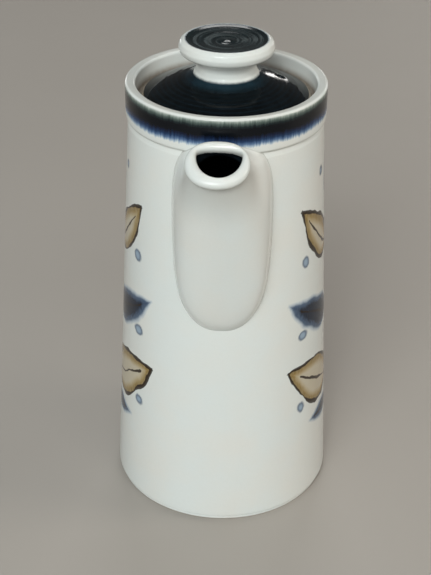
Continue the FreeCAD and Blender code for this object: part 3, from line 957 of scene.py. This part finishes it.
def decoration(N, P, x, y, z, base, on_wall):
    """Leafy sprig with berries, brushed on both flanks."""
    th = N.math("ABSOLUTE", N.math("ARCTAN2", x, N.mul(y, -1.0)))
    u = N.mul(N.sub(th, math.pi / 2), 50.0)
    warp = N.noise_col(P, 0.07, 2.0)
    sw = N.node("ShaderNodeSeparateXYZ")
    N.t.links.new(warp, sw.inputs[0])
    fine = N.noise_col(P, 0.55, 3.0)
    sf = N.node("ShaderNodeSeparateXYZ")
    N.t.links.new(fine, sf.inputs[0])
    u = N.add(u, N.add(N.mul(N.sub(sw.outputs[0], 0.5), 4.6), N.mul(N.sub(sf.outputs[0], 0.5), 0.45)))
    v = N.add(z, N.add(N.mul(N.sub(sw.outputs[1], 0.5), 4.6), N.mul(N.sub(sf.outputs[1], 0.5), 0.45)))

    def leaves(rows):
        ds, vs, al = None, None, None
        for (bu, bv, tu, tv, hw_, bend) in rows:
            n = N.node("ShaderNodeGroup", node_tree=LEAF)
            N._in(n.inputs["U"], u)
            N._in(n.inputs["V"], v)
            n.inputs["BaseU"].default_value = bu
            n.inputs["BaseV"].default_value = bv
            n.inputs["Angle"].default_value = math.atan2(tv - bv, tu - bu)
            n.inputs["Length"].default_value = math.hypot(tu - bu, tv - bv)
            n.inputs["HalfWidth"].default_value = hw_
            n.inputs["Bend"].default_value = bend
            ds = n.outputs["D"] if ds is None else N.math("MINIMUM", ds, n.outputs["D"])
            vs = n.outputs["Vein"] if vs is None else N.math("MINIMUM", vs, n.outputs["Vein"])
        return ds, vs

    od, ov = leaves(OCHRE_LEAVES)
    bd, bv_ = leaves(BLUE_LEAVES)
    streak = N.noise(N.xyz(N.mul(u, 1.0), N.mul(v, 0.35), 0.0), 0.75, 4.0, 0.65)
    press = N.noise(P, 0.075, 2.0, 0.5)
    c = base
    # ochre wash: thin in the middle of the leaf, pooling towards its edge
    pool = N.step(od, -5.5, -0.6)
    tone = N.mix(N.math("MULTIPLY", pool, N.remap(streak, 0.25, 0.75, 0.55, 1.0)), OCHRE, OCHRE_DEEP)
    wash = N.mul(N.step(od, 0.25, -0.35), N.add(0.52, N.mul(N.math("MULTIPLY", N.step(od, -6.8, -2.2), N.remap(streak, 0.3, 0.7, 0.7, 1.0)), 0.46)))
    c = N.mix(wash, c, tone)
    # blue leaves: slate bleeding out of a near-black core
    halo = N.mul(N.step(bd, 1.5, -0.6), N.remap(streak, 0.25, 0.75, 0.55, 1.0))
    c = N.mix(N.mul(halo, 0.80), c, SLATE_LIGHT)
    c = N.mix(N.step(bd, 0.1, -1.8), c, SLATE)
    c = N.mix(N.mul(N.step(N.add(bd, N.mul(N.sub(streak, 0.5), 5.0)), -1.6, -5.0), 0.88), c, NAVY)
    # outlines, veins and stem with an uneven brush
    width = N.remap(press, 0.34, 0.68, 0.22, 1.35)
    line = N.step(N.sub(N.math("ABSOLUTE", N.add(od, 0.15)), width), 0.30, -0.12)
    vein = N.step(N.sub(ov, N.mul(width, 0.55)), 0.28, -0.10)
    stem_u = N.sub(N.math("ABSOLUTE", N.sub(u, N.mul(N.math("SINE", N.mul(v, 0.034)), 1.8))), N.add(width, 0.12))
    stem = N.math("MULTIPLY", N.step(stem_u, 0.35, -0.10), N.mul(N.step(v, 33.0, 36.0), N.step(v, 163.0, 160.0)))
    rib = N.step(N.sub(bv_, N.mul(width, 0.45)), 0.30, -0.10)
    ink = N.math("MAXIMUM", N.math("MAXIMUM", line, vein), N.math("MAXIMUM", stem, rib))
    c = N.mix(N.mul(ink, 0.95), c, UMBER)
    # berries: single dabs of the brush, paler in the middle
    rd = None
    for (bu, bv, br) in BERRIES:
        d = N.sub(N.math("SQRT", N.add(N.math("POWER", N.sub(u, bu), 2.0), N.math("POWER", N.sub(v, bv), 2.0))), br)
        rd = d if rd is None else N.math("MINIMUM", rd, d)
    dab = N.mul(N.step(N.add(rd, N.mul(N.sub(streak, 0.5), 1.2)), 0.5, -0.9), 0.90)
    c = N.mix(dab, c, N.mix(N.step(rd, -0.5, -2.4), SLATE, SLATE_LIGHT))
    return N.mix(on_wall, base, c)


def body_material():
    m, N, bsdf, P, x, y, z = begin("white_glaze_body")
    r = N.math("SQRT", N.add(N.mul(x, x), N.mul(y, y)))
    wall = N.sub(BASE_R, N.mul(N.sub(z, BASE_Z), TAPER))
    outside = N.step(N.sub(r, wall), -2.2, -1.4)
    c = glaze_white(N, P, z)
    c = decoration(N, P, x, y, z, c, N.mul(outside, N.mul(N.step(z, 24.0, 26.0), N.step(z, 197.0, 195.0))))
    # collar band: painted on the wheel, so its streaks run up and down
    ux = N.math("DIVIDE", x, r)
    uy = N.math("DIVIDE", y, r)
    ring = N.xyz(N.mul(ux, 46.0), N.mul(uy, 46.0), N.mul(z, 0.10))
    s1 = N.noise(ring, 0.62, 3.0, 0.60)
    s2 = N.noise(ring, 1.9, 3.0, 0.65)
    slow = N.noise(ring, 0.055, 2.0, 0.5)
    shift = N.add(N.add(N.mul(N.sub(s1, 0.5), 2.6), N.mul(N.sub(s2, 0.5), 2.4)), N.mul(N.sub(slow, 0.5), 1.6))
    zl = N.add(z, shift)                                   # lower, bleeding edge
    zu = N.add(z, N.mul(shift, 0.75))                      # upper, thinning edge
    blue = N.ramp(N.remap(zl, 202.2, 208.2, 0.0, 1.0), (
        (0.0, (0.70, 0.72, 0.72)), (0.16, (0.42, 0.51, 0.60)), (0.34, (0.10, 0.17, 0.30)), (0.55, COBALT), (0.78, (0.006, 0.013, 0.038)), (1.0, INK)))
    band = N.step(zl, 202.3, 203.3)
    c = N.mix(N.mul(outside, band), c, blue)
    top = N.ramp(N.remap(zu, 211.2, 216.6, 0.0, 1.0), (
        (0.0, INK), (0.22, (0.012, 0.020, 0.022)), (0.46, (0.085, 0.115, 0.105)), (0.66, (0.30, 0.345, 0.315)), (0.86, (0.62, 0.64, 0.60)), (1.0, (0.72, 0.725, 0.69))))
    rim = N.math("MULTIPLY", N.step(zu, 210.8, 211.3), outside)
    c = N.mix(rim, c, top)
    lip = N.math("MAXIMUM", N.step(z, 214.6, 215.5), N.step(N.sub(r, 45.2), 0.0, -0.9))
    c = N.mix(N.mul(lip, N.step(z, 198.0, 199.0)), c, glaze_white(N, P, z))
    # painted shade: the flat of the lip is coloured greyer, for less light falling on its top
    lip = N.mul(N.step(z, 215.0, 215.6), N.mul(N.step(r, 42.2, 43.0), N.step(r, 45.9, 45.1)))
    c = N.mix(N.mul(lip, 0.45), c, (0.40, 0.395, 0.36))
    # lid seat and lower gallery wall: bare clay, with painted shade darkening it browner into the corner round the lid
    seat_clay_and_shade = N.mul(N.mul(N.step(r, 42.5, 41.8), N.step(z, 211.4, 206.8)), N.step(z, 205.2, 205.8))
    sn = N.noise(P, 0.5, 3.0, 0.6)
    c = N.mix(N.mul(seat_clay_and_shade, N.remap(sn, 0.3, 0.7, 0.72, 0.95)), c, N.mix(sn, (0.15, 0.108, 0.075), (0.25, 0.19, 0.135)))
    # painted shade: inside below the throat, and round the pour hole behind the spout, coloured near black for the
    # darkness inside the pot
    inside_shade = N.mul(N.step(N.sub(r, wall), -2.2, -3.0), N.mul(N.step(z, 205.3, 204.6), N.step(z, 5.0, 6.0)))
    port = N.mul(N.mul(N.step(N.math("ABSOLUTE", x), 16.8, 16.0), N.step(y, -36.0, -37.0)), N.mul(N.step(z, 132.0, 133.5), N.step(z, 199.0, 198.4)))
    inside_shade = N.math("MAXIMUM", inside_shade, port)
    c = N.mix(inside_shade, c, (0.006, 0.009, 0.012))
    # ground foot: bare fired clay
    bare = N.mul(N.step(z, 0.55, 0.25), 1.0)
    grit = N.noise(P, 2.6, 4.0, 0.7)
    c = N.mix(bare, c, N.mix(N.remap(grit, 0.3, 0.7, 0.0, 1.0), CLAY, (0.33, 0.24, 0.17)))
    N._in(bsdf.inputs["Base Color"], c)
    rr = N.noise(P, 0.12, 4.0, 0.6)
    f = N.noise(P, 2.2, 3.0, 0.6)
    ro = N.add(N.remap(rr, 0.3, 0.7, 0.13, 0.21), N.remap(f, 0.3, 0.7, -0.015, 0.02))
    N._in(bsdf.inputs["Roughness"], N.mixf(bare, ro, 0.85))
    bsdf.inputs["Specular IOR Level"].default_value = 0.24
    bsdf.inputs["IOR"].default_value = 1.52
    streak_h = N.mul(N.mul(band, outside), N.mul(s2, 0.35))
    glaze_bump(N, bsdf, P, N.add(streak_h, N.mul(bare, N.mul(grit, 1.2))))
    return m


def plain_material():
    m, N, bsdf, P, x, y, z = begin("white_glaze_strap")
    N._in(bsdf.inputs["Base Color"], glaze_white(N, P, z))
    gloss(N, bsdf, P, 0.14, 0.07)
    glaze_bump(N, bsdf, P)
    return m


def spout_material():
    m, N, bsdf, P, x, y, z = begin("white_glaze_spout")
    a = N.node("ShaderNodeAttribute", attribute_name="depth")
    edge = N.noise(P, 0.5, 3.0, 0.6)
    inside_shade = N.step(N.add(a.outputs["Fac"], N.mul(N.sub(edge, 0.5), 0.8)), 4.4, 5.2)
    c = glaze_white(N, P, z)
    # painted shade: greyer in the hollow under the mouth ring, where shade falls below the lip
    h = N.add(N.mul(y, float(MOUTH_N[1])), N.add(N.mul(z, float(MOUTH_N[2])), -float(MOUTH_N @ MOUTH_C)))
    under_ring_shade = N.mul(N.mul(N.step(h, -30.0, -5.0), N.step(h, -2.4, -3.6)), N.step(y, -50.0, -60.0))
    c = N.mix(N.mul(under_ring_shade, 0.56), c, (0.46, 0.46, 0.43))
    # and painted shade again: a greyer line in the crease at the root, where shade falls in the corner
    crease_shade = N.mul(N.step(a.outputs["Fac"], -0.22, -0.72), N.remap(N.noise(P, 0.09, 2.0, 0.5), 0.35, 0.65, 0.30, 0.68))
    c = N.mix(crease_shade, c, (0.26, 0.255, 0.235))
    # painted shade: the spout's inside, deeper than about 4.4 mm below the lip, coloured near black
    c = N.mix(inside_shade, c, (0.006, 0.009, 0.012))
    N._in(bsdf.inputs["Base Color"], c)
    gloss(N, bsdf, P, 0.14, 0.07)
    glaze_bump(N, bsdf, P)
    return m


def dark_glaze(N, P, r, lo, hi):
    """Blue-black glaze, cloudy between two tones; the teal on the turning ridges is mixed in by the callers."""
    n = N.noise(P, 0.22, 4.0, 0.6)
    c = N.mix(N.remap(n, 0.3, 0.72, 0.0, 1.0), lo, hi)
    return c


def lid_material():
    m, N, bsdf, P, x, y, z = begin("dark_glaze_lid")
    r = N.math("SQRT", N.add(N.mul(x, x), N.mul(y, y)))
    th = N.math("ARCTAN2", y, x)
    c = dark_glaze(N, P, r, (0.0016, 0.0026, 0.0032), (0.0042, 0.0070, 0.0090))
    rings = N.math("SINE", N.add(N.mul(r, 2 * math.pi / 2.35), N.mul(th, 1.0)))
    c = N.mix(N.mul(N.step(rings, 0.1, 1.0), 0.30), c, (0.006, 0.015, 0.023))
    # teal-blue where the glaze runs thin against the knob
    ragged = N.add(r, N.mul(N.sub(N.noise(P, 0.6, 3.0, 0.6), 0.5), 2.0))
    patch = N.remap(N.noise(P, 0.10, 2.0, 0.5), 0.35, 0.65, 0.35, 0.85)
    c = N.mix(N.mul(N.step(ragged, 21.5, 15.5), patch), c, (0.013, 0.033, 0.048))
    # the edge breaks pale where the glaze pulls off the corner
    er = N.add(r, N.mul(N.sub(N.noise(P, 0.7, 3.0, 0.6), 0.5), 0.55))
    edge = N.mul(N.step(er, 37.75, 38.35), N.step(z, 206.4, 207.2))
    c = N.mix(N.mul(edge, 0.85), c, (0.36, 0.31, 0.24))
    under = N.step(z, 206.9, 206.4)
    c = N.mix(N.mul(under, N.step(r, 31.0, 33.2)), c, CLAY)
    N._in(bsdf.inputs["Base Color"], c)
    gloss(N, bsdf, P, 0.10, 0.05)
    bsdf.inputs["Specular IOR Level"].default_value = 0.16
    glaze_bump(N, bsdf, P, None, 0.04)
    return m


def knob_material():
    m, N, bsdf, P, x, y, z = begin("knob_glaze")
    r = N.math("SQRT", N.add(N.mul(x, x), N.mul(y, y)))
    th = N.math("ARCTAN2", y, x)
    c = glaze_white(N, P, z)
    on_top = N.step(z, 233.4, 233.6)
    dark = dark_glaze(N, P, r, (0.0018, 0.0056, 0.0074), (0.005, 0.0130, 0.0160))
    rings = N.math("SINE", N.add(N.mul(r, 2 * math.pi / 2.6), th))
    dark = N.mix(N.mul(N.step(rings, 0.0, 1.0), 0.18), dark, (0.011, 0.029, 0.035))
    ragged = N.add(r, N.mul(N.sub(N.noise(P, 0.75, 4.0, 0.65), 0.5), 0.9))
    halo = N.mul(N.step(ragged, 19.6, 18.7), on_top)
    c = N.mix(N.mul(halo, 0.75), c, (0.15, 0.20, 0.25))
    c = N.mix(N.mul(N.step(ragged, 19.0, 18.4), on_top), c, dark)
    # the dark glaze of the lid creeps a little up the foot of the neck
    rag2 = N.add(z, N.mul(N.sub(N.noise(P, 0.55, 4.0, 0.6), 0.5), 0.6))
    c = N.mix(N.mul(N.step(rag2, 220.3, 219.1), 0.92), c, (0.016, 0.036, 0.052))
    N._in(bsdf.inputs["Base Color"], c)
    gloss(N, bsdf, P, 0.14, 0.06)
    bsdf.inputs["Specular IOR Level"].default_value = 0.24
    glaze_bump(N, bsdf, P, None, 0.04)
    return m


pot_body.data.materials.clear()
for ob, mat in ((pot_body, body_material()), (spout, spout_material()), (handle, plain_material()), (lid, lid_material()), (knob, knob_material())):
    ob.data.materials.clear()
    ob.data.materials.append(mat)

# ======================================================================= stage
bm = bmesh.new()
bmesh.ops.create_grid(bm, x_segments=24, y_segments=24, size=6.0)
fm = bpy.data.meshes.new("floor")
bm.to_mesh(fm)
bm.free()
floor = bpy.data.objects.new("floor", fm)
scene.collection.objects.link(floor)
m, N, bsdf, P, x, y, z = begin("pale_floor")
n = N.noise(P, 0.004, 3.0, 0.5)
N._in(bsdf.inputs["Base Color"], N.mix(n, (0.350, 0.323, 0.294), (0.390, 0.362, 0.332)))
bsdf.inputs["Roughness"].default_value = 0.55
floor.data.materials.append(m)

world = bpy.data.worlds.new("studio")
scene.world = world
world.use_nodes = True
bg = world.node_tree.nodes["Background"]
bg.inputs[0].default_value = (0.84, 0.82, 0.79, 1.0)
bg.inputs[1].default_value = 0.13


def softbox(name, loc, target, size, power, color, spread=180.0):
    l = bpy.data.lights.new(name, "AREA")
    l.shape = "RECTANGLE"
    l.size, l.size_y = size
    l.energy = power
    l.color = color
    l.spread = math.radians(spread)
    o = bpy.data.objects.new(name, l)
    o.location = loc
    d = Vector(target) - Vector(loc)
    o.rotation_euler = d.to_track_quat("-Z", "Y").to_euler()
    scene.collection.objects.link(o)
    return o


sun = bpy.data.lights.new("sky_soft", "SUN")
sun.energy = 0.85
sun.angle = math.radians(50.0)
sun.color = (0.96, 1.0, 0.99)
suno = bpy.data.objects.new("sky_soft", sun)
suno.rotation_euler = Vector((0.10, 0.76, -0.64)).to_track_quat("-Z", "Y").to_euler()
scene.collection.objects.link(suno)
softbox("key_front", (-0.42, -1.66, 1.20), (0, 0, 0.12), (1.0, 0.7), 16.0, (0.94, 1.0, 0.985))
softbox("window_front", (-0.22, -1.45, 1.45), (0, 0, 0.18), (0.20, 0.30), 4.2, (0.97, 1.0, 0.99))
softbox("fill_left", (-1.15, -1.05, 0.70), (0, 0, 0.12), (0.6, 0.8), 1.8, (0.92, 0.99, 1.0))
softbox("fill_right", (1.48, -0.02, 0.80), (0, 0, 0.12), (0.6, 0.8), 7.0, (1.0, 0.92, 0.81))
softbox("front_right", (0.85, -1.05, 1.40), (0, 0, 0.12), (0.5, 0.7), 2.6, (1.0, 0.92, 0.82))
softbox("back_top", (0.0, 1.50, 1.75), (0, 0, 0.14), (0.7, 0.4), 6.5, (1.0, 1.0, 0.99))
softbox("back_left", (-1.70, 1.10, 0.90), (0, 0, 0.12), (0.8, 0.9), 1.9, (0.97, 1.0, 1.0))
softbox("back_right", (1.70, 1.10, 0.80), (0, 0, 0.12), (0.7, 0.8), 1.8, (1.0, 0.95, 0.88))
softbox("glow_left", (-1.20, 2.10, 0.34), (0, 0, 0.20), (0.50, 0.30), 2.6, (1.0, 0.99, 0.97))
softbox("glow_right", (1.20, 2.10, 0.42), (0, 0, 0.20), (0.50, 0.30), 2.6, (1.0, 0.97, 0.93))
softbox("top", (0.02, -0.12, 2.20), (0, 0, 0.20), (0.28, 0.28), 2.4, (1.0, 1.0, 1.0))
softbox("window_low", (0.46, 2.42, 0.655), (0, 0, 0.20), (0.16, 0.20), 1.0, (1.0, 0.98, 0.95))
softbox("window_high", (-0.16, 2.35, 1.12), (0, 0, 0.23), (0.20, 0.13), 0.055, (0.85, 1.0, 1.0))

# ====================================================================== camera
cam = bpy.data.cameras.new("camera")
cam.sensor_width = 36.0
cam.sensor_fit = "AUTO"
cam.lens = 36.0 * 1288.3 / 575.0
cam.clip_start = 0.02
cam.clip_end = 50.0
camo = bpy.data.objects.new("camera", cam)
yaw, pitch, roll = math.radians(-2.774), math.radians(30.9395), math.radians(-0.538)
fwd = Vector((math.sin(yaw) * math.cos(pitch), math.cos(yaw) * math.cos(pitch), -math.sin(pitch)))
right = Vector((math.cos(yaw), -math.sin(yaw), 0.0))
down = fwd.cross(right)
r2 = math.cos(roll) * right + math.sin(roll) * down
d2 = -math.sin(roll) * right + math.cos(roll) * down
rot = Matrix((r2, -d2, -fwd)).transposed()
camo.matrix_world = Matrix.Translation(Vector((0.02274, -0.55435, 0.43703))) @ rot.to_4x4()
scene.collection.objects.link(camo)
scene.camera = camo
scene.view_settings.view_transform = "Standard"
scene.view_settings.look = "None"
